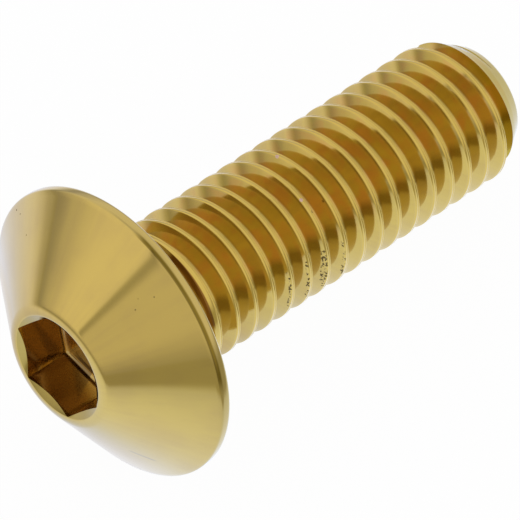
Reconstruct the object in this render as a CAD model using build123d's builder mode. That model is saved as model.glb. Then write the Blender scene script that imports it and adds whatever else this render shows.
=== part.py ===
from build123d import *
import os
from math import atan, atan2, ceil, cos, degrees, floor, radians, sin, tan

# Button head screw, one piece: a low conical head with a thin bevelled rim, a hexagon socket
# with a countersunk mouth, a short neck that opens out to the shank, a right-hand thread that
# runs out towards the neck, and a long chamfered point.
# It is drawn upright on its own axis, from the bearing face (Z = 0) up to the tip, and then
# laid on its side as it comes to rest, on its rim and on the last full crest of its thread.
# The origin stays at the centre of the bearing face, and +X points to the tip.

# ---- driving dimensions, mm and degrees ----
thread_d = 7.8  # over the crests, M8 as rolled
pitch = 1.25
thread_depth = 0.43  # crest to root
crest_flat = 0.28  # land along each crest
flank_angle = 30.0  # each flank, from square to the axis
groove_start = 2.95  # under the head, where the groove reaches its full depth
groove_turn = 180.0  # that place, from the top of the lying screw
runout_turns = 0.5  # over which the groove fades out towards the head
length = 25.3  # under the head
point_d = 5.6
point_len = 1.75

head_d = 15.8
head_h = 4.1
rim_h = 0.55  # the short wall round the head, with its bevel
rim_bevel = 0.15
crown_d = 6.6  # ring on top of the cone, round the socket

socket_af = 5.0  # across flats
socket_depth = 2.7
socket_turn = 37.3  # one corner, from the top of the lying screw
mouth_d = 5.7  # countersunk mouth, just under the corners
mouth_angle = 120.0

neck_d = 7.1
neck_len = 2.15
neck_taper = 30.0  # opening from the neck to the crests, from the axis

# ---- sizes that follow ----
thread_r = thread_d / 2
root_r = thread_r - thread_depth
neck_r = neck_d / 2
neck_end = neck_len + (thread_r - neck_r) / tan(radians(neck_taper))
point_r = point_d / 2
point_start = length - point_len
head_r = head_d / 2
crown_r = crown_d / 2
socket_r = socket_af / 2
mouth_r = mouth_d / 2
mouth_tip = mouth_r / tan(radians(mouth_angle / 2)) - head_h

# the groove between two crests, cut a little past the crests
clear = 0.1
groove_w = pitch - crest_flat
cut_depth = thread_depth + clear
cut_half = groove_w / 2 + clear * tan(radians(flank_angle))
root_half = groove_w / 2 - thread_depth * tan(radians(flank_angle))
turns = ceil((length - groove_start + groove_w) / pitch)

# its run-out climbs a cone, and its last point lies just outside the crests
runout_len = runout_turns * pitch
runout_angle = degrees(atan(cut_depth / runout_len))
runout_pitch = pitch / cos(radians(runout_angle))

# ---- cutters for the groove, each drawn about the axis from its own start at Z = 0 ----
groove_points = [
    (0, -root_half),
    (cut_depth, -cut_half),
    (cut_depth, cut_half),
    (0, root_half),
]

with BuildPart() as groove:
    with BuildLine() as root_line:
        Helix(pitch, pitch, root_r)
    section = Plane(origin=root_line.line @ 0, x_dir=(1, 0, 0), z_dir=root_line.line % 0)
    with BuildSketch(section) as groove_section:
        with BuildLine():
            Polyline(*groove_points, close=True)
        make_face()
    sweep(path=root_line.line, is_frenet=True)

with BuildPart() as runout:
    with BuildLine() as runout_line:
        Helix(runout_pitch, runout_len, root_r + cut_depth, cone_angle=-runout_angle)
    section = Plane(origin=runout_line.line @ 0, x_dir=(1, 0, 0), z_dir=runout_line.line % 0)
    with BuildSketch(section) as runout_section:
        with BuildLine():
            Polyline(*groove_points, close=True)
        make_face()
    sweep(path=runout_line.line, is_frenet=True)

groove_places = [
    Location((0, 0, groove_start + pitch * k), (0, 0, groove_turn)) for k in range(turns)
]
runout_place = Location(
    (0, 0, groove_start - runout_len), (0, 0, groove_turn - 360 * runout_turns)
)

with BuildPart() as upright:
    # turned blank: head, neck, shank and point
    with BuildSketch(Plane.XZ) as turned:
        with BuildLine():
            Polyline(
                (0, -head_h),
                (crown_r, -head_h),
                (head_r, -rim_h),
                (head_r, 0),
                (neck_r, 0),
                (neck_r, neck_len),
                (thread_r, neck_end),
                (thread_r, point_start),
                (point_r, length),
                (0, length),
                close=True,
            )
        make_face()
        rim_edge = turned.vertices().filter_by_position(Axis.X, head_r, head_r)
        chamfer(rim_edge.sort_by(Axis.Y)[-1], rim_bevel)
    revolve(axis=Axis.Z)

    # rolled thread: the groove turn by turn, and its run-out
    with Locations(groove_places):
        add(groove.part, mode=Mode.SUBTRACT)
    with Locations(runout_place):
        add(runout.part, mode=Mode.SUBTRACT)

    # hexagon socket, punched with a flat floor, and its countersunk mouth
    with BuildSketch(Plane.XY.offset(-head_h)) as hexagon:
        RegularPolygon(socket_r, 6, major_radius=False, rotation=socket_turn)
    extrude(amount=socket_depth, mode=Mode.SUBTRACT)
    with BuildSketch(Plane.XZ) as mouth:
        with BuildLine():
            Polyline((0, -head_h), (mouth_r, -head_h), (0, mouth_tip), close=True)
        make_face()
    revolve(axis=Axis.Z, mode=Mode.SUBTRACT)

# ---- laid down: the ground meets the rim above its bevel, and the last of the full crests ----
first_land = groove_start + pitch * ((180 - groove_turn) / 360 + 0.5) - crest_flat / 2
lands = floor((point_start - first_land) / pitch)
last_crest = min(first_land + pitch * lands + crest_flat, point_start)
lean = degrees(atan2(head_r - thread_r, last_crest + rim_bevel))

along = Vector(cos(radians(lean)), 0, -sin(radians(lean)))
up = Vector(sin(radians(lean)), 0, cos(radians(lean)))
lying = Plane(origin=(0, 0, 0), x_dir=up, z_dir=along)

with BuildPart(lying) as screw:
    add(upright.part)

screw.part.label = "screw"
os.makedirs("parts", exist_ok=True)
export_step(screw.part, "parts/screw.step")

box = screw.part.bounding_box()
print("lean", lean, "ground", box.min.Z, "from", box.min.X, "to", box.max.X)
print("last crest", last_crest, "turns", turns)
print("faces", len(screw.part.faces()), "volume", screw.part.volume, screw.part.is_valid)
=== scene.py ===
# %% [markdown]
# A gold button head screw, lying on its side
#
# This lesson dresses one small machined part: a socket screw with a low conical head, a short
# neck and a rolled metric thread. The solid model from the CAD comes in first as a fixed frame.
# The looks are then built on it: a fine thread with rounded crests and roots, soft edges on the
# head, a countersunk hexagon socket and a polished gold finish.

# %% The frame
import bpy
import bmesh
from math import atan2, ceil, cos, degrees, hypot, pi, radians, sin, tan
from mathutils import Matrix, Vector


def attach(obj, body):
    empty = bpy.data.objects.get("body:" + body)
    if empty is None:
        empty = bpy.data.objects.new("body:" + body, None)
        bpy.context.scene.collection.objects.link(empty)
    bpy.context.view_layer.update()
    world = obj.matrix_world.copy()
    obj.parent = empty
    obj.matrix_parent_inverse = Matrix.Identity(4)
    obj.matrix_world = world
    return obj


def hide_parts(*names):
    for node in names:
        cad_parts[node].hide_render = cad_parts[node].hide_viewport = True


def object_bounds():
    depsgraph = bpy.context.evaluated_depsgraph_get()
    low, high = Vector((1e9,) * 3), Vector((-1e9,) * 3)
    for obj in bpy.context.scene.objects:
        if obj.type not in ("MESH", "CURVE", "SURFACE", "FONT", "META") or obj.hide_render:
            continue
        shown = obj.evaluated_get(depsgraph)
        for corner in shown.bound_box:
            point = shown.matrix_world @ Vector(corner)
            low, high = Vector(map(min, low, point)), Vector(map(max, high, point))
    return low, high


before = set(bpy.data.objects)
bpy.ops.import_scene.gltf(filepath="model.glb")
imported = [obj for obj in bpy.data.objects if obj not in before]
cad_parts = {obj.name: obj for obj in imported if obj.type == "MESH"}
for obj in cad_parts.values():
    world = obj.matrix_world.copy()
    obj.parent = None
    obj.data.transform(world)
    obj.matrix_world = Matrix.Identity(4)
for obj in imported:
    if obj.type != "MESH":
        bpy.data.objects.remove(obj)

cad_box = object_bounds()
print("nodes in the frame:", sorted(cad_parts))
print("CAD box:", cad_box)

# %% [markdown]
# The camera
#
# A screw this small is best seen from some way off through a long lens, so that its far end looks
# hardly smaller than its near end. An orthographic camera would make both ends equal, which looks
# drawn rather than seen, so a long lens is set on a camera that stands well back. It stands on
# the socket's side, well above the screw, and looks at a point beside the bearing face.

# %% The camera
bearing_face = Vector((0, 0, 0))
look_up = radians(54.417)
look_across = radians(43.995)
camera_distance = 0.41667
aim_right = 0.006948
aim_up = 0.003354

towards_camera = Vector((
    -sin(look_across) * cos(look_up),
    -cos(look_across) * cos(look_up),
    sin(look_up),
))
picture_right = Vector((cos(look_across), -sin(look_across), 0))
picture_up = towards_camera.cross(picture_right)
target = bearing_face + aim_right * picture_right + aim_up * picture_up

camera_data = bpy.data.cameras.new("camera")
camera_data.sensor_width = 36
camera_data.lens = 590.9
camera_data.clip_start = 0.01
camera_data.clip_end = 10
camera = bpy.data.objects.new("camera", camera_data)
bpy.context.scene.collection.objects.link(camera)
camera.location = target + camera_distance * towards_camera
camera.rotation_euler = towards_camera.to_track_quat("Z", "Y").to_euler()
bpy.context.scene.camera = camera
print("camera at", [round(value, 4) for value in camera.location])

# %% [markdown]
# Measuring the screw
#
# The screw is modelled upright in millimetres, from its bearing face at height 0 up to the tip,
# with the head below. That keeps every number one that could be read off a caliper. They are the
# CAD part's own, but for a steeper shoulder at the neck, a crown a little narrower and a mouth a
# little wider, which fit the finished piece better. At the end one matrix lays it down, and
# millimetres become metres.

# %% Sizes in millimetres
crest_radius = 3.9
pitch = 1.25
length = 25.3
point_start = 23.55
point_radius = 2.8
neck_radius = 3.55
neck_length = 2.15
neck_end = 2.756
shoulder_taper = radians(60)
head_radius = 7.9
head_height = 4.1
rim_height = 0.55
crown_radius = 3.2
mouth_radius = 2.88
mouth_half_angle = radians(60)
hexagon_radius = 2.5
hexagon_corner = radians(37.3)
corner_reach = 2.862  # the punch's corners are blunt, and end at this radius
socket_depth = 2.7
groove_full = 2.95  # height where the groove reaches its full depth
groove_turn = 180  # the angle of that place in degrees, from the top of the lying screw
runout_turn = 180  # degrees over which the groove climbs out of the metal
lean = radians(9.579892)
millimetre = 0.001

along = Vector((cos(lean), 0, -sin(lean)))
up = Vector((sin(lean), 0, cos(lean)))
lying = Matrix((
    (up.x, 0, along.x, 0),
    (0, -1, 0, 0),
    (up.z, 0, along.z, 0),
    (0, 0, 0, 1),
))
print("tip lands at", [round(value, 2) for value in lying @ Vector((0, 0, length))])

# %% [markdown]
# The outline of the thread
#
# A rolled thread is one groove wound round the shank. Rolling presses it in between two dies,
# which leaves a narrow land with soft corners, straight flanks, a well rounded root, and often a
# fine seam along the land where the metal met. Only one pitch of that outline has to be drawn. It
# could be drawn with all its curves, but sharp corners are easier to give in numbers, and they
# are rounded afterwards.

# %% One pitch of the outline
land = 0.23
flank = radians(26.5)
seam_width = 0.06
seam_depth = 0.018
seam_shift = 0.035
crest_round = 0.03
root_round = 0.39

groove_width = pitch - land
sharp_root = crest_radius - groove_width / 2 / tan(flank)
outline = [
    (crest_radius - seam_depth, seam_shift),
    (crest_radius, seam_shift + seam_width / 2),
    (crest_radius, land / 2),
    (sharp_root, pitch / 2),
    (crest_radius, pitch - land / 2),
    (crest_radius, pitch + seam_shift - seam_width / 2),
    (crest_radius - seam_depth, pitch + seam_shift),
]
print("groove", round(groove_width, 3), "mm wide, its sharp root at", round(sharp_root, 3), "mm")

# %% [markdown]
# The same order each run
#
# Spin and extrude make the same shape every time, but they hand out its edges and faces in an
# order that changes, and later steps follow that order. Points and faces listed one by one in
# Python would never change, but then every tool used below would have to be written out. The
# parts are sorted instead, after the spin and again at the end, and one function closes a loop
# with a face that always starts at the same point.

# %% Sorting and closing
def by_verts(part):
    return sorted(vert.index for vert in part.verts)


def set_in_order(parts, key):
    for index, part in enumerate(sorted(parts, key=key)):
        part.index = index
    parts.sort()


def angle_of(vert):
    return atan2(vert.co.y, vert.co.x)


def close(mesh, loop):
    """Fills a loop of edges with one face."""
    ends = {vert for edge in loop for vert in edge.verts}
    mesh.faces.new(sorted(ends, key=angle_of))


# %% [markdown]
# Winding the thread
#
# A screw modifier could wind the outline, but spin does the same inside bmesh and leaves a mesh
# that can be worked on. The outline's corners are rounded with bevel while it is still a wire,
# and spin turns it once round while it climbs one pitch. That turn is copied a pitch higher again
# and again, and the turns share their edges once doubles are merged.

# %% Rounding the wire and winding it
thread_end = length - 0.4
steps_a_turn = 144
turns = 21
merged = 1e-4

# height of the land's middle at the angle of a hexagon corner, just below the first seam wanted
first_seam = neck_length - pitch - 0.2
land_middle = groove_full + pitch / 2 + pitch * (degrees(hexagon_corner) - groove_turn) / 360
land_middle -= pitch * ceil((land_middle - first_seam) / pitch)

screw = bmesh.new()
wire = [screw.verts.new((radius, 0, land_middle + height)) for radius, height in outline]
for lower, upper in zip(wire, wire[1:]):
    screw.edges.new((lower, upper))
bmesh.ops.bevel(
    screw, geom=[wire[2], wire[4]], affect="VERTICES", offset=crest_round,
    offset_type="OFFSET", segments=3, profile=0.5, material=-1,
)
bmesh.ops.bevel(
    screw, geom=[wire[3]], affect="VERTICES", offset=root_round,
    offset_type="OFFSET", segments=8, profile=0.5, material=-1,
)
root_radius = min(hypot(vert.co.x, vert.co.y) for vert in screw.verts)
bmesh.ops.rotate(
    screw, verts=screw.verts, cent=(0, 0, 0), matrix=Matrix.Rotation(hexagon_corner, 3, "Z"),
)
bmesh.ops.spin(
    screw, geom=screw.verts[:] + screw.edges[:], cent=(0, 0, 0), axis=(0, 0, 1),
    angle=2 * pi, steps=steps_a_turn, dvec=(0, 0, pitch / steps_a_turn),
)
screw.verts.index_update()
set_in_order(screw.edges, by_verts)
set_in_order(screw.faces, by_verts)
bmesh.ops.recalc_face_normals(screw, faces=screw.faces)
one_turn = screw.verts[:] + screw.edges[:] + screw.faces[:]
for turn in range(1, turns):
    copied = bmesh.ops.duplicate(screw, geom=one_turn)["geom"]
    bmesh.ops.translate(
        screw, vec=(0, 0, pitch * turn),
        verts=[part for part in copied if isinstance(part, bmesh.types.BMVert)],
    )
bmesh.ops.remove_doubles(screw, verts=screw.verts, dist=merged)
print("root radius", round(root_radius, 3), "mm,", len(screw.faces), "faces of thread")

# %% [markdown]
# Trimming the thread
#
# A real thread ends where the bar it is rolled on ends, or where its outline changes. Both ends
# of the helix are cut square here with bisect_plane. Where a turned surface, such as a cone, cuts
# the thread, a Boolean would leave long slivers. So the edges that cross the surface are split
# exactly on it, and what stands outside is pressed back onto it.

# %% Cutting square and trimming
touching = 1e-3  # nearer than this to a surface, in millimetres, a point counts as on it


def radius_of(vert):
    return hypot(vert.co.x, vert.co.y)


def press_to(vert, radius):
    vert.co.xy *= radius / radius_of(vert)


def trim(mesh, limit, lowest, highest):
    """Keeps the mesh inside the turned surface limit(height), from lowest to highest."""
    def proud(vert):
        return radius_of(vert) - limit(vert.co.z)
    crossing = []
    for edge in mesh.edges[:]:
        ends = edge.verts[:]
        if all(lowest <= vert.co.z <= highest for vert in ends):
            first, last = proud(ends[0]), proud(ends[1])
            if first * last < 0 and min(abs(first), abs(last)) > touching:
                share = first / (first - last)
                crossing.append(bmesh.utils.edge_split(edge, ends[0], share)[1])
    bmesh.ops.connect_verts(mesh, verts=crossing)
    for vert in mesh.verts:
        if lowest <= vert.co.z <= highest and proud(vert) > -touching:
            press_to(vert, limit(vert.co.z))
    return len(crossing)


def cut_off(mesh, height, side):
    """Cuts across the axis, and drops what lies beyond on that side, or nothing for side 0."""
    bmesh.ops.bisect_plane(
        mesh, geom=mesh.verts[:] + mesh.edges[:] + mesh.faces[:], dist=1e-5,
        plane_co=(0, 0, height), plane_no=(0, 0, side or 1), clear_outer=side != 0,
    )


cut_off(screw, thread_end, 1)
cut_off(screw, neck_length, -1)
print("faces between the square cuts", len(screw.faces))

# %% [markdown]
# Run-out, shoulder and point
#
# Near the neck the dies let go of the metal and the groove climbs out of it over half a turn. The
# neck opens to the shank over a short steep shoulder, and the point is a long cone. Both could be
# turned as pieces of their own, but then their edges would have to be fitted to the helix. As
# limits that the thread may not pass, they meet it exactly.

# %% The three limits
full_depth = crest_radius - root_radius
for vert in screw.verts:
    angle = degrees(angle_of(vert)) % 360
    groove = groove_full + pitch * (angle - groove_turn) / 360
    wound = angle + 360 * round((vert.co.z - groove) / pitch)
    if wound < groove_turn:
        raised = full_depth * min(1, (groove_turn - wound) / runout_turn)
        press_to(vert, radius_of(vert) + raised)

print("run-out cuts", trim(screw, lambda height: crest_radius, 0, neck_length + 2 * pitch))
shoulder_start = neck_end - (crest_radius - neck_radius) / tan(shoulder_taper)
for height in (shoulder_start, neck_end):
    cut_off(screw, height, 0)


def on_shoulder_cone(height):
    return neck_radius + max(0, height - shoulder_start) * tan(shoulder_taper)


print("neck cuts", trim(screw, on_shoulder_cone, 0, neck_end + touching))
point_slope = (crest_radius - point_radius) / (length - point_start)


def on_point_cone(height):
    return crest_radius - (height - point_start) * point_slope


print("point cuts", trim(screw, on_point_cone, point_start - 0.01, thread_end + 0.01))

# %% [markdown]
# Extruding rings
#
# A lathe shapes the neck and the head in one pass, and they can be made in the same way from the
# thread's own lower edge: the loop is extruded ring by ring along the turned outline. A second
# spun outline would do too, but its points would have to be stitched to the thread's. Where the
# cut added points to the loop, they are first welded onto the even steps round the axis, so that
# every ring after it is regular.

# %% The even loop at the neck
def end_loop(mesh, height):
    return [
        edge for edge in mesh.edges
        if edge.is_boundary and all(abs(vert.co.z - height) < touching for vert in edge.verts)
    ]


def even_loop(mesh, height):
    """Welds the points that the cut added onto the nearest of the steps round the axis."""
    step = 2 * pi / steps_a_turn

    def steps_from_corner(vert):
        return (angle_of(vert) - hexagon_corner) / step

    def off_step(vert):
        return abs(steps_from_corner(vert) - round(steps_from_corner(vert)))

    kept, welded = {}, {}
    # each point once, as in a set, but a dict keeps their order
    ends = dict.fromkeys(vert for edge in end_loop(mesh, height) for vert in edge.verts)
    for vert in sorted(ends, key=off_step):
        place = round(steps_from_corner(vert)) % steps_a_turn
        if place in kept:
            welded[vert] = kept[place]
        else:
            kept[place] = vert
    bmesh.ops.weld_verts(mesh, targetmap=welded)
    return end_loop(mesh, height)


def extrude_ring(mesh, loop, radius, height):
    """Extrudes the loop to a radius and height, which may follow the angle round the axis."""
    made = bmesh.ops.extrude_edge_only(mesh, edges=loop)["geom"]
    for vert in [part for part in made if isinstance(part, bmesh.types.BMVert)]:
        angle = angle_of(vert)
        press_to(vert, radius(angle) if callable(radius) else radius)
        vert.co.z = height(angle) if callable(height) else height
    return [part for part in made if isinstance(part, bmesh.types.BMEdge) and part.is_boundary]


loop = even_loop(screw, neck_length)
print("edges round the neck", len(loop))

# %% [markdown]
# Neck and head
#
# The head is a low cone with a short upright rim below and a narrow flat crown above. It could be
# a cone and two cylinders joined by a Boolean, but one outline keeps it a single clean skin. The
# rings run down the neck, out across the bearing face, up over the rim and the cone to the crown.
# Extra rings on the cone keep its faces short.

# %% Down the neck and over the head
cone_run = head_radius - crown_radius
cone_rise = head_height - rim_height


def on_cone(share):
    """A point on the cone, from the rim at 0 to the crown at 1."""
    return head_radius - cone_run * share, -rim_height - cone_rise * share


turned = [
    # the neck, and the bearing face out to the rim
    (neck_radius, 1.2), (neck_radius, 0.4), (neck_radius, 0), (neck_radius + 0.4, 0),
    (5.8, 0), (head_radius - 0.3, 0), (head_radius, 0),
    # the rim and the cone
    (head_radius, -0.27), (head_radius, -rim_height),
    on_cone(0.05), on_cone(0.12), on_cone(0.3), on_cone(0.5), on_cone(0.7), on_cone(0.85),
    on_cone(0.935),
    # the flat crown, in to the mouth of the socket
    (crown_radius, -head_height), (crown_radius - 0.26, -head_height),
    (mouth_radius, -head_height),
]
rings = []
for radius, height in turned:
    loop = extrude_ring(screw, loop, radius, height)
    rings.append(loop)
print("rings over the head", len(rings))

# %% [markdown]
# The socket
#
# A hexagon punch follows the drilled mouth, so its flats cut scallops into the 120 degree
# countersink and its corners just reach the mouth's edge. A Boolean with a hexagon prism would
# give the same form with long thin faces. The same extrusion goes on instead: each point of the
# loop moves in to the hexagon at its own angle, and down the countersink as far as it moved in.
# The floor is closed with one last face.

# %% Hexagon, walls and floor
def hexagon(angle):
    from_corner = (angle - hexagon_corner) % (pi / 3)
    from_flat = abs(from_corner - pi / 6)
    return min(hexagon_radius / cos(from_flat), corner_reach)


def scallop(angle):
    return -head_height + (mouth_radius - hexagon(angle)) / tan(mouth_half_angle)


floor_height = -head_height + socket_depth
loop = extrude_ring(screw, loop, hexagon, scallop)
rings.append(loop)
for depth in (0.4, 0.8, 1.4, 2.0, socket_depth - 0.3, socket_depth):
    loop = extrude_ring(screw, loop, hexagon, -head_height + depth)
    rings.append(loop)
for share in (0.9, 0.6, 0.3):
    loop = extrude_ring(screw, loop, lambda angle: share * hexagon(angle), floor_height)
close(screw, loop)
print("rings down to the socket", len(rings))

# %% [markdown]
# The point
#
# The other end of the screw is turned to a long blunt cone, so that it finds its hole. The
# thread's last turn fades into that cone. From there on the loop is extruded down the bare cone
# and across the flat end, in the same way as the head, and closed with one face. Letting the
# thread run on to the tip would leave a ragged edge there.

# %% Cone and flat end
loop = even_loop(screw, thread_end)
print("edges round the point", len(loop))
for height in (length - 0.2, length):
    loop = extrude_ring(screw, loop, on_point_cone(height), height)
tip_edge = loop
for radius in (point_radius - 0.2, 1.8, 0.8):
    loop = extrude_ring(screw, loop, radius, length)
close(screw, loop)

# %% [markdown]
# Breaking the edges
#
# No machined edge is quite sharp: tools and tumbling round it, and the thin bright line along it
# is what makes metal look real. A Bevel modifier would also round the fine thread, so bevel is
# given only the rings that are edges, each with the width it has on the part. The rings close
# beside them keep the roundings from bending the light on the faces.

# %% Rounding the rings
# ring: width of its rounding in millimetres, and segments
roundings = {
    2: (0.3, 5),  # the neck's root
    6: (0.2, 5),  # the rim at the bearing face
    8: (0.08, 3),  # the rim at the cone
    16: (0.25, 6),  # the crown's outer edge
    18: (0.03, 2),  # the mouth's edge
    25: (0.24, 4),  # the foot of the socket's walls
}
bmesh.ops.recalc_face_normals(screw, faces=screw.faces)
for place, (size, segments) in roundings.items():
    bmesh.ops.bevel(
        screw, geom=rings[place], affect="EDGES", offset=size, offset_type="OFFSET",
        segments=segments, profile=0.5, material=-1,
    )
bmesh.ops.bevel(
    screw, geom=tip_edge, affect="EDGES", offset=0.12, offset_type="OFFSET",
    segments=3, profile=0.5, material=-1,
)
open_edges = sum(edge.is_boundary for edge in screw.edges)
print("faces in all", len(screw.faces), "open edges", open_edges)

# %% [markdown]
# Laying it down
#
# The finished mesh is laid on its side with one transform, so the object itself stays at the
# origin, unturned. Normals are worked out again once everything is merged, and faces are shaded
# smooth except across real corners. A Weighted Normal modifier then lets the large faces decide
# how light falls, so that cones and flats stay true right up to their roundings.

# %% The finished piece
to_metres = Matrix.Diagonal((millimetre, millimetre, millimetre, 1))
bmesh.ops.transform(screw, matrix=to_metres @ lying, verts=screw.verts)
bmesh.ops.recalc_face_normals(screw, faces=screw.faces)
for face in screw.faces:
    face.smooth = True
set_in_order(screw.verts, lambda vert: vert.co[:])
set_in_order(screw.edges, by_verts)
set_in_order(screw.faces, by_verts)
screw_mesh = bpy.data.meshes.new("gold_screw")
screw.to_mesh(screw_mesh)
screw.free()
screw_mesh.set_sharp_from_angle(angle=radians(34))
gold_screw = bpy.data.objects.new("gold_screw", screw_mesh)
bpy.context.scene.collection.objects.link(gold_screw)
even_light = gold_screw.modifiers.new("even_light", "WEIGHTED_NORMAL")
even_light.mode = "FACE_AREA"
even_light.weight = 50
even_light.keep_sharp = True

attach(gold_screw, "root")
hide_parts("screw")
triangles = sum(len(face.vertices) - 2 for face in screw_mesh.polygons)
print("triangles", triangles)

# %% [markdown]
# Writing materials as sums
#
# A material is a graph of small nodes. Long sums of Math nodes are hard to read, so one small
# class wraps a socket and lets Python's own signs add the nodes, and one method makes every other
# node. The nodes could be placed by hand in the editor, but a sum in text is easier to check.

# %% The sums helper
class Wire:
    """An output socket that can be used in sums."""

    def __init__(self, graph, socket):
        self.graph = graph
        self.socket = socket

    def __add__(self, other):
        return self.graph.math("ADD", self, other)

    def __sub__(self, other):
        return self.graph.math("SUBTRACT", self, other)

    def __rsub__(self, other):
        return self.graph.math("SUBTRACT", other, self)

    def __mul__(self, other):
        return self.graph.math("MULTIPLY", self, other)

    __radd__ = __add__
    __rmul__ = __mul__


class Graph:
    """The nodes of one material or world."""

    def __init__(self, tree):
        self.tree = tree
        self.tree.nodes.clear()

    def node(self, kind, settings=None, values=None, output=0):
        """Makes a node from its type, its settings, and the values or wires of its sockets."""
        made = self.tree.nodes.new("ShaderNode" + kind)
        for name, value in (settings or {}).items():
            setattr(made, name, value)
        for name, value in (values or {}).items():
            if isinstance(value, Wire):
                self.tree.links.new(value.socket, made.inputs[name])
            else:
                made.inputs[name].default_value = value
        return Wire(self, made.outputs[output]) if made.outputs else made

    def math(self, operation, first, second=None):
        values = {0: first} if second is None else {0: first, 1: second}
        return self.node("Math", {"operation": operation}, values)

    def rise(self, value, start, end):
        """0 before start, 1 after end, and a smooth climb between."""
        return self.node("MapRange", {"interpolation_type": "SMOOTHSTEP"}, {
            "Value": value, "From Min": start, "From Max": end,
        })


def material_graph(name):
    material = bpy.data.materials.new(name)
    material.use_nodes = True
    return material, Graph(material.node_tree)


gold, graph = material_graph("gold_finish")
print("an empty material:", gold.name)

# %% [markdown]
# Finding a place on the screw
#
# A material knows only where it is in the object. The first nodes turn that place into numbers
# that a maker would use: the height along the axis, the distance from the axis, and the angle
# round it, counted from the top of the lying screw. A painted texture would need the thread
# unwrapped, which is awkward for a helix, while these numbers fit it everywhere.

# %% Where on the screw
place = graph.node("TexCoord", output="Object")
here = graph.node("VectorMath", {"operation": "SCALE"}, {0: place, "Scale": 1 / millimetre})
off_axis = graph.node("VectorMath", {"operation": "CROSS_PRODUCT"}, {0: here, 1: along})
radius = graph.node("VectorMath", {"operation": "LENGTH"}, {0: off_axis}, output="Value")


def part_along(direction):
    return graph.node(
        "VectorMath", {"operation": "DOT_PRODUCT"}, {0: here, 1: direction}, output="Value",
    )


height = part_along(along)
upward = part_along(up)
sideways = part_along((0, -1, 0))
around = graph.math("ARCTAN2", sideways, upward) * degrees(1)


def between(value, low, high, soft):
    """1 from low to high, fading to 0 over the soft width outside them."""
    return graph.rise(value, low - soft, low) * (1 - graph.rise(value, high, high + soft))


def either(first, second):
    return graph.math("MAXIMUM", first, second)


def noise(scale, detail, vector=None):
    return graph.node("TexNoise", {}, {
        "Vector": here if vector is None else vector, "Scale": scale, "Detail": detail,
    })


def near(upward_mm, sideways_mm, height_mm, size):
    """1 at one small spot, in millimetres on the upright screw."""
    centre = lying @ Vector((upward_mm, sideways_mm, height_mm))
    distance = graph.node(
        "VectorMath", {"operation": "DISTANCE"}, {0: here, 1: centre}, output="Value",
    )
    return 1 - graph.rise(distance, size * 0.6, size)


print("nodes that find a place:", len(gold.node_tree.nodes))

# %% [markdown]
# Parts of the surface
#
# Turning, rolling and punching each leave their own finish, and the coloured film that follows
# comes out a little different on each. Other masks carry painted light and shade: painted shade
# on the neck, in a band on the shoulder, in the socket and along the rim's corner, and a painted
# highlight on the shoulder's first land and the socket's lower walls. These masks are 1 on one
# part of the screw and 0 elsewhere. Separate material slots could divide the mesh too, but masks
# fade softly from one part to the next. Heights and radii are in millimetres, and angles in
# degrees from the top.

# %% Masks for each part
on_crest = graph.rise(radius, 3.84, 3.88) * between(height, 2.7, 23.5, 0.1)
in_groove = (1 - graph.rise(radius, 3.76, 3.86)) * between(height, 2.7, 24.5, 0.1)
# painted shade: the neck is darkened all round, in the hollow under the head
neck_shade = (1 - graph.rise(radius, 3.65, 3.8)) * between(height, 0.1, 2.35, 0.25)
# painted highlight: the first land at the shoulder is made paler
shoulder_highlight = graph.rise(radius, 3.65, 3.8) * between(height, 2.3, 2.75, 0.1)
# painted shade in a band on the shoulder, which climbs with the thread
shoulder_shade = graph.rise(radius, 3.58, 3.68) * between(height - around * 0.0028, 2.54, 2.71, 0.06)
shoulder_shade = shoulder_shade * between(around, 8, 67, 7)
on_point = graph.rise(height, 23.75, 23.95) * (0.8 + between(radius, 2.85, 3.5, 0.1) * 0.2)

in_bore = 1 - graph.rise(radius, 2.84, 2.92)
in_socket = in_bore * between(height, -3.85, -1.3, 0.04)
in_corner = in_bore * graph.rise(radius, 2.1, 2.25) * between(height, -1.7, -1.3, 0.02)
in_mouth = (1 - graph.rise(radius, 2.84, 2.88)) * between(height, -4.08, -3.9, 0.04)
on_floor = (1 - graph.rise(radius, 2.2, 2.3)) * between(height, -1.5, -1.3, 0.1)
# the socket's lower walls, which are painted lit
lit_walls = graph.rise(sideways * 0.6 - upward, 0.3, 2.4)

on_rim = graph.rise(radius, 7.84, 7.88)
# painted shade: a dark line along the rim's corner, on the upper side of the head
rim_shade = between(radius, 7.83, 7.92, 0.04) * between(around, 10, 66, 8)
rim_shade = rim_shade * (1 - graph.rise(height, -0.5, -0.38))
print("nodes with the masks:", len(gold.node_tree.nodes))

# %% [markdown]
# Streaks and blotches
#
# Nothing rolled, punched and handled is even. Fine streaks run round a turned part, and the film
# varies in broad blotches, a little more orange in the grooves on top. A wave texture could draw
# the streaks, but it repeats, so noise is stretched round the axis instead.

# %% Noise over the whole screw
grain = noise(7.5, 3)
streak_way = graph.node("CombineXYZ", {}, {
    "X": around * 0.25, "Y": height * 0.25, "Z": radius * 0.1,
})
streaks = noise(1.0, 4, streak_way)
blotches = noise(0.45, 2)
amber = graph.rise(noise(0.8, 2), 0.44, 0.62) * between(around, -40, 50, 25)
print("nodes with the noise:", len(gold.node_tree.nodes))

# %% [markdown]
# Dust along the crests
#
# Dark dust clings to the head side of a few crests, low on one side, and most thickly on one of
# them. It follows the helix, so its place is given as a share of the pitch. Loose grains could be
# modelled one by one, but they are too small to show a shape, and noise cut off at a level looks
# the same.

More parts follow.
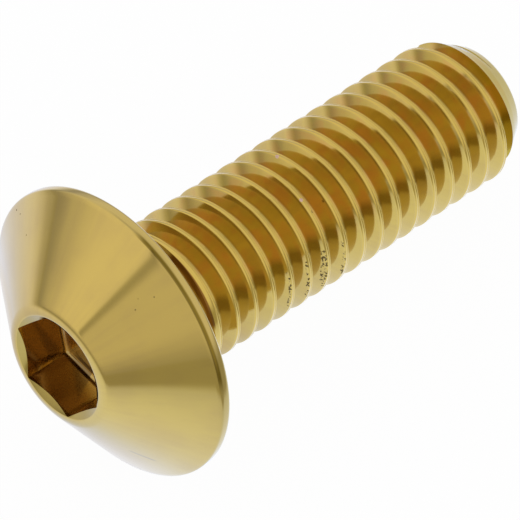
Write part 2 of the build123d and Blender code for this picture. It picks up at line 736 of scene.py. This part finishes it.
# %% Dust by its place in the pitch
# 0 in the middle of the groove, and 0.5 in the middle of the land
in_pitch = graph.math(
    "FRACT", (height - groove_full) * (1 / pitch) - around * (1 / 360) + groove_turn / 360,
)
below_crest = between(in_pitch, 0.36, 0.41, 0.04) * between(around, 70, 102, 10)
dust_patch = below_crest * between(height, 7.9, 12.2, 0.6) * 0.85
thick_dust = between(in_pitch, 0.29, 0.41, 0.04) * between(around, 68, 98, 6)
dust_patch = either(dust_patch, thick_dust * between(height, 10.2, 10.8, 0.25) * 0.9)
dust = graph.rise(grain * 0.75 + dust_patch * 0.25, 0.6, 0.65) * graph.rise(dust_patch, 0.1, 0.4)
print("nodes with the dust:", len(gold.node_tree.nodes))

# %% [markdown]
# Single marks
#
# The cone and the crests carry a few specks, two crests are rubbed to a pinkish spot, and one
# fine scratch runs across the cone. Noise would scatter such marks anywhere, so they are given
# one by one in millimetres.

# %% Specks, rubbed spots and a scratch
# up, sideways and along the screw, and the size of the speck
specks = (
    (3.19, 2.24, 10.73, 0.12), (4.30, 0.62, -3.30, 0.055), (3.74, -0.29, -3.75, 0.05),
    (5.68, 2.48, -1.87, 0.045), (5.21, 2.64, -2.14, 0.055), (6.03, 3.08, -1.42, 0.045),
    (3.23, -6.85, -0.80, 0.06), (3.48, -6.40, -1.02, 0.05), (3.57, -5.16, -1.81, 0.055),
    (3.88, -3.34, -2.70, 0.05),
)
for speck in specks:
    dust = either(dust, near(*speck))
rubbed = either(near(3.71, -1.19, 11.50, 0.14), near(3.57, 1.57, 10.51, 0.12))

scratch = between(around + radius * 4.6, 159.5, 160.3, 0.7) * between(radius, 5.6, 6.4, 0.2)
scratch = scratch * between(height, -3, -1.2, 0.1)
print("specks", len(specks), "and", len(gold.node_tree.nodes), "nodes")

# %% [markdown]
# The colour of the film
#
# The colour is a thin hard film on polished steel. Polished metal has almost no colour of its own
# under the light: the tint is in its reflections, so the base colour is the colour it gives to a
# white card. A ramp could hold all the golds, but each belongs to a part, so the socket's painted
# light and shade, the painted shade and highlight at the neck, shoulder and rim, the rolled
# crests and the marks are laid over the plain gold one after another.

# %% Gold, part by part
def blend(amount, first, second):
    """The first colour at 0 and the second at 1."""
    colours = [end if isinstance(end, Wire) else (*end, 1) for end in (first, second)]
    return graph.node(
        "Mix", {"data_type": "RGBA"}, {0: amount, 6: colours[0], 7: colours[1]}, output=2,
    )


# painted light and shade in the socket: pale on the lower walls, dark elsewhere
socket_light_shade = blend(
    graph.rise(noise(0.9, 1) * 0.3 + lit_walls * 0.85, 0.1, 0.9),
    (0.28, 0.145, 0.045), (0.88, 0.64, 0.2),
)
# painted shade on the socket's floor and at the foot of its walls, more at the foot of the lit
# walls; the floor is then darker still
socket_foot_shade = either(on_floor, in_corner * (0.3 + lit_walls * 0.6))
socket_floor_shade = either(on_floor, in_corner) * (1 - graph.rise(around, -158, -138))

colour = blend(
    graph.rise(blotches * 0.6 + streaks * 0.4, 0.4, 0.7),
    (0.525, 0.353, 0.029), (0.475, 0.31, 0.029),
)
for amount, film in (
    (in_groove * amber * 0.5, (0.56, 0.27, 0.03)),
    # painted shade on the neck
    (neck_shade * 0.9, (0.15, 0.045, 0.015)),
    # painted highlight on the shoulder's first land
    (shoulder_highlight * 0.7, (0.64, 0.5, 0.24)),
    # painted light and shade in the socket
    (in_socket, socket_light_shade),
    # painted shade on the socket's floor and at the foot of its walls
    (socket_foot_shade, (0.38, 0.24, 0.05)),
    (socket_floor_shade * 0.8, (0.13, 0.07, 0.014)),
    (on_point * 0.6, (0.4, 0.3, 0.05)),
    (in_mouth * 0.6, (0.28, 0.2, 0.02)),
    (on_rim, (0.5, 0.35, 0.06)),
    # painted shade along the rim's corner, and the scratch, a real mark, in the same dark colour
    (either(rim_shade * 0.8, scratch * 0.6), (0.16, 0.1, 0.012)),
    (on_crest, (0.6, 0.41, 0.06)),
    # painted shade in the band on the shoulder
    (shoulder_shade * 0.95, (0.21, 0.09, 0.02)),
    (rubbed, (0.62, 0.4, 0.3)),
    (dust, (0.17, 0.12, 0.035)),
):
    colour = blend(amount, colour, film)
print("nodes with the colours:", len(gold.node_tree.nodes))

# %% [markdown]
# The gold finish
#
# Rolled and punched metal is a little rougher than turned metal, and dust is rougher still. A
# clear coat gives the paler shine that such a film has at a flat angle, and it is worn or missing
# in the socket, on the crests and at the point. A second metal shader could stand for the film,
# but the coat does the same in one node.

# %% The shader
roughness = 0.075 + streaks * 0.05 + on_crest * 0.06 + in_groove * 0.025 + in_socket * 0.06
bare = in_socket * 0.6 + in_mouth * 0.3 + in_groove * 0.2 + on_crest * 0.5
bare = bare + rim_shade * 0.8 + on_point * 0.8 + on_rim * 0.2 + shoulder_shade * 0.9
finish = graph.node("BsdfPrincipled", {}, {
    "Base Color": colour,
    "Metallic": 1 - dust * 0.2,
    "Roughness": roughness + dust * 0.5 + rubbed * 0.3,
    "Coat Weight": 1 - either(dust, bare),
    "Coat Roughness": 0.08,
    "Coat IOR": 1.8,
})
graph.node("OutputMaterial", {}, {"Surface": finish})
screw_mesh.materials.append(gold)
print("nodes in the gold finish:", len(gold.node_tree.nodes))

# %% [markdown]
# The table
#
# Polished metal shows what it lies on as much as what hangs above it. The floor is a round of
# white paper that takes the screw's shadow. A square sheet would do as well, but a round one has
# the same edge from every side.

# %% The paper
floor_mesh = bpy.data.meshes.new("floor")
paper = bmesh.new()
bmesh.ops.create_circle(paper, cap_ends=True, segments=96, radius=0.4)
bmesh.ops.translate(paper, verts=paper.verts, vec=(0.01, 0, cad_box[0][2]))
paper.to_mesh(floor_mesh)
paper.free()
floor = bpy.data.objects.new("floor", floor_mesh)
bpy.context.scene.collection.objects.link(floor)
print("the table's height:", round(cad_box[0][2], 5))

# %% [markdown]
# What the metal sees of the table
#
# A pale sheet lies on the table round the screw, and beyond it the table is greyer, which gives
# the metal a darker band to mirror. Cards could be laid out as objects, but they would show in
# the picture. Light Path tells the camera's rays from the mirrored ones, so the paper can look
# plain white while the metal sees that table. Distances are in metres here.

# %% The sheet in the mirror
white_paper, graph = material_graph("white_paper")
seen = graph.node("LightPath", output="Is Camera Ray")
mirrored = graph.node("LightPath", output="Is Glossy Ray")
place = graph.node("TexCoord", output="Object")
across = graph.node("SeparateXYZ", {}, {0: place}, output="Y")
from_screw = graph.node("VectorMath", {"operation": "LENGTH"}, {0: place}, output="Value")
far_side = graph.rise(across, 0.0, 0.012)

sheet_end = graph.rise(from_screw, 0.02, 0.12) * 0.75 + graph.rise(from_screw, 0.12, 0.25) * 0.25
sheet = graph.rise(across, -0.029, -0.021) * (1 - sheet_end)
sheen = 0.5 + sheet * (0.33 + 0.27 * graph.rise(across, -0.026, -0.006))
# painted shadow of the screw on the mirrored sheet: darker close round it and out on its far side
shade = 1 - 0.24 * (1 - graph.rise(from_screw, 0.004, 0.018)) * graph.rise(across, -0.006, 0.0)
shade = shade * (1 - 0.12 * (1 - graph.rise(from_screw, 0.006, 0.014)))
shade = shade * (1 - 0.24 * far_side * (1 - graph.rise(from_screw, 0.006, 0.048)))

# close round the screw the painted shadow is also tinted pinkish
close_by = 1 - graph.rise(from_screw - far_side * 0.006, 0.0075, 0.0097)
tint = blend(far_side, (0.99, 1.08, 1.27), (1.0, 1.03, 1.17))
tint = blend(close_by, tint, (1.0, 0.97, 0.96))
tint = blend(sheet, (1.0, 0.99, 0.85), tint)
sheet_white = graph.node(
    "VectorMath", {"operation": "SCALE"}, {0: tint, "Scale": sheen * shade},
)

matt = graph.node("BsdfDiffuse", {}, {"Color": (0.9, 0.9, 0.9, 1)})
white = graph.node("Emission", {}, {"Color": (1, 1, 1, 1), "Strength": 1.0})
mirror_white = graph.node("Emission", {}, {"Color": sheet_white, "Strength": 1.0})
paper_face = graph.node("MixShader", {}, {0: seen * 0.97, 1: matt, 2: white})
paper_face = graph.node("MixShader", {}, {0: mirrored, 1: paper_face, 2: mirror_white})
graph.node("OutputMaterial", {}, {"Surface": paper_face})
floor_mesh.materials.append(white_paper)
print("nodes in the paper:", len(white_paper.node_tree.nodes))

# %% [markdown]
# The light tent
#
# Small shiny goods are lit inside a tent of white cloth, because a bare lamp would show in them
# as a hard white spot. The world stands for that tent: its walls brighten with height, it has a
# narrow gap between two cloths and a faint seam, and where it meets the table it is darkest. Area
# lamps round the screw could be used as well, but a world has no edges that show and takes one
# short cell.

# %% Walls, gap and seam
world = bpy.data.worlds.new("tent")
bpy.context.scene.world = world
world.use_nodes = True
graph = Graph(world.node_tree)
way = graph.node("TexCoord", output="Generated")
x, y, z = (graph.node("SeparateXYZ", {}, {0: way}, output=axis) for axis in "XYZ")
bearing = graph.math("ARCTAN2", y * -1, x * -1) * degrees(1)

wall = 1.0 + 0.1 * (1 - graph.rise(bearing, -9, -7)) * graph.rise(bearing, -80, -40)
wall = wall - 0.14 * graph.rise(bearing, -9, -5) * (1 - graph.rise(bearing, 50, 80))
gap_end = 3 * graph.rise(z, 0.3, 0.48) - 5
gap = graph.rise(bearing, -12, -9) * (1 - graph.rise(bearing, -8.5, gap_end))
gap = gap * graph.rise(z, 0.2, 0.4)
seam_distance = graph.math("ABSOLUTE", bearing + 120)
seam = (1 - graph.rise(seam_distance, 2, 14)) * between(z, 0.7, 0.8, 0.1)
level = wall * (1 - 0.5 * gap) * (1 - 0.15 * seam) * (1 - 0.2 * graph.rise(z, 0.7, 0.9))

near_side = graph.rise(bearing, -12, 0)
far_climb = graph.rise(z, -0.02, 0.14) * 0.45 + graph.rise(z, 0.1, 0.44) * 0.55
climb = graph.rise(z, -0.1, 0.25) * near_side + far_climb * (1 - near_side)
darkest = 0.5
level = darkest + (level - darkest) * climb

seen = graph.node("LightPath", output="Is Camera Ray")
shown = graph.node("Mix", {"data_type": "FLOAT"}, {0: seen, 2: level, 3: 1.0})
sky = graph.node("Background", {}, {"Color": shown, "Strength": 1.0})
graph.node("OutputWorld", {}, {"Surface": sky})
bpy.context.scene.view_settings.view_transform = "Standard"
print("nodes in the tent:", len(world.node_tree.nodes))
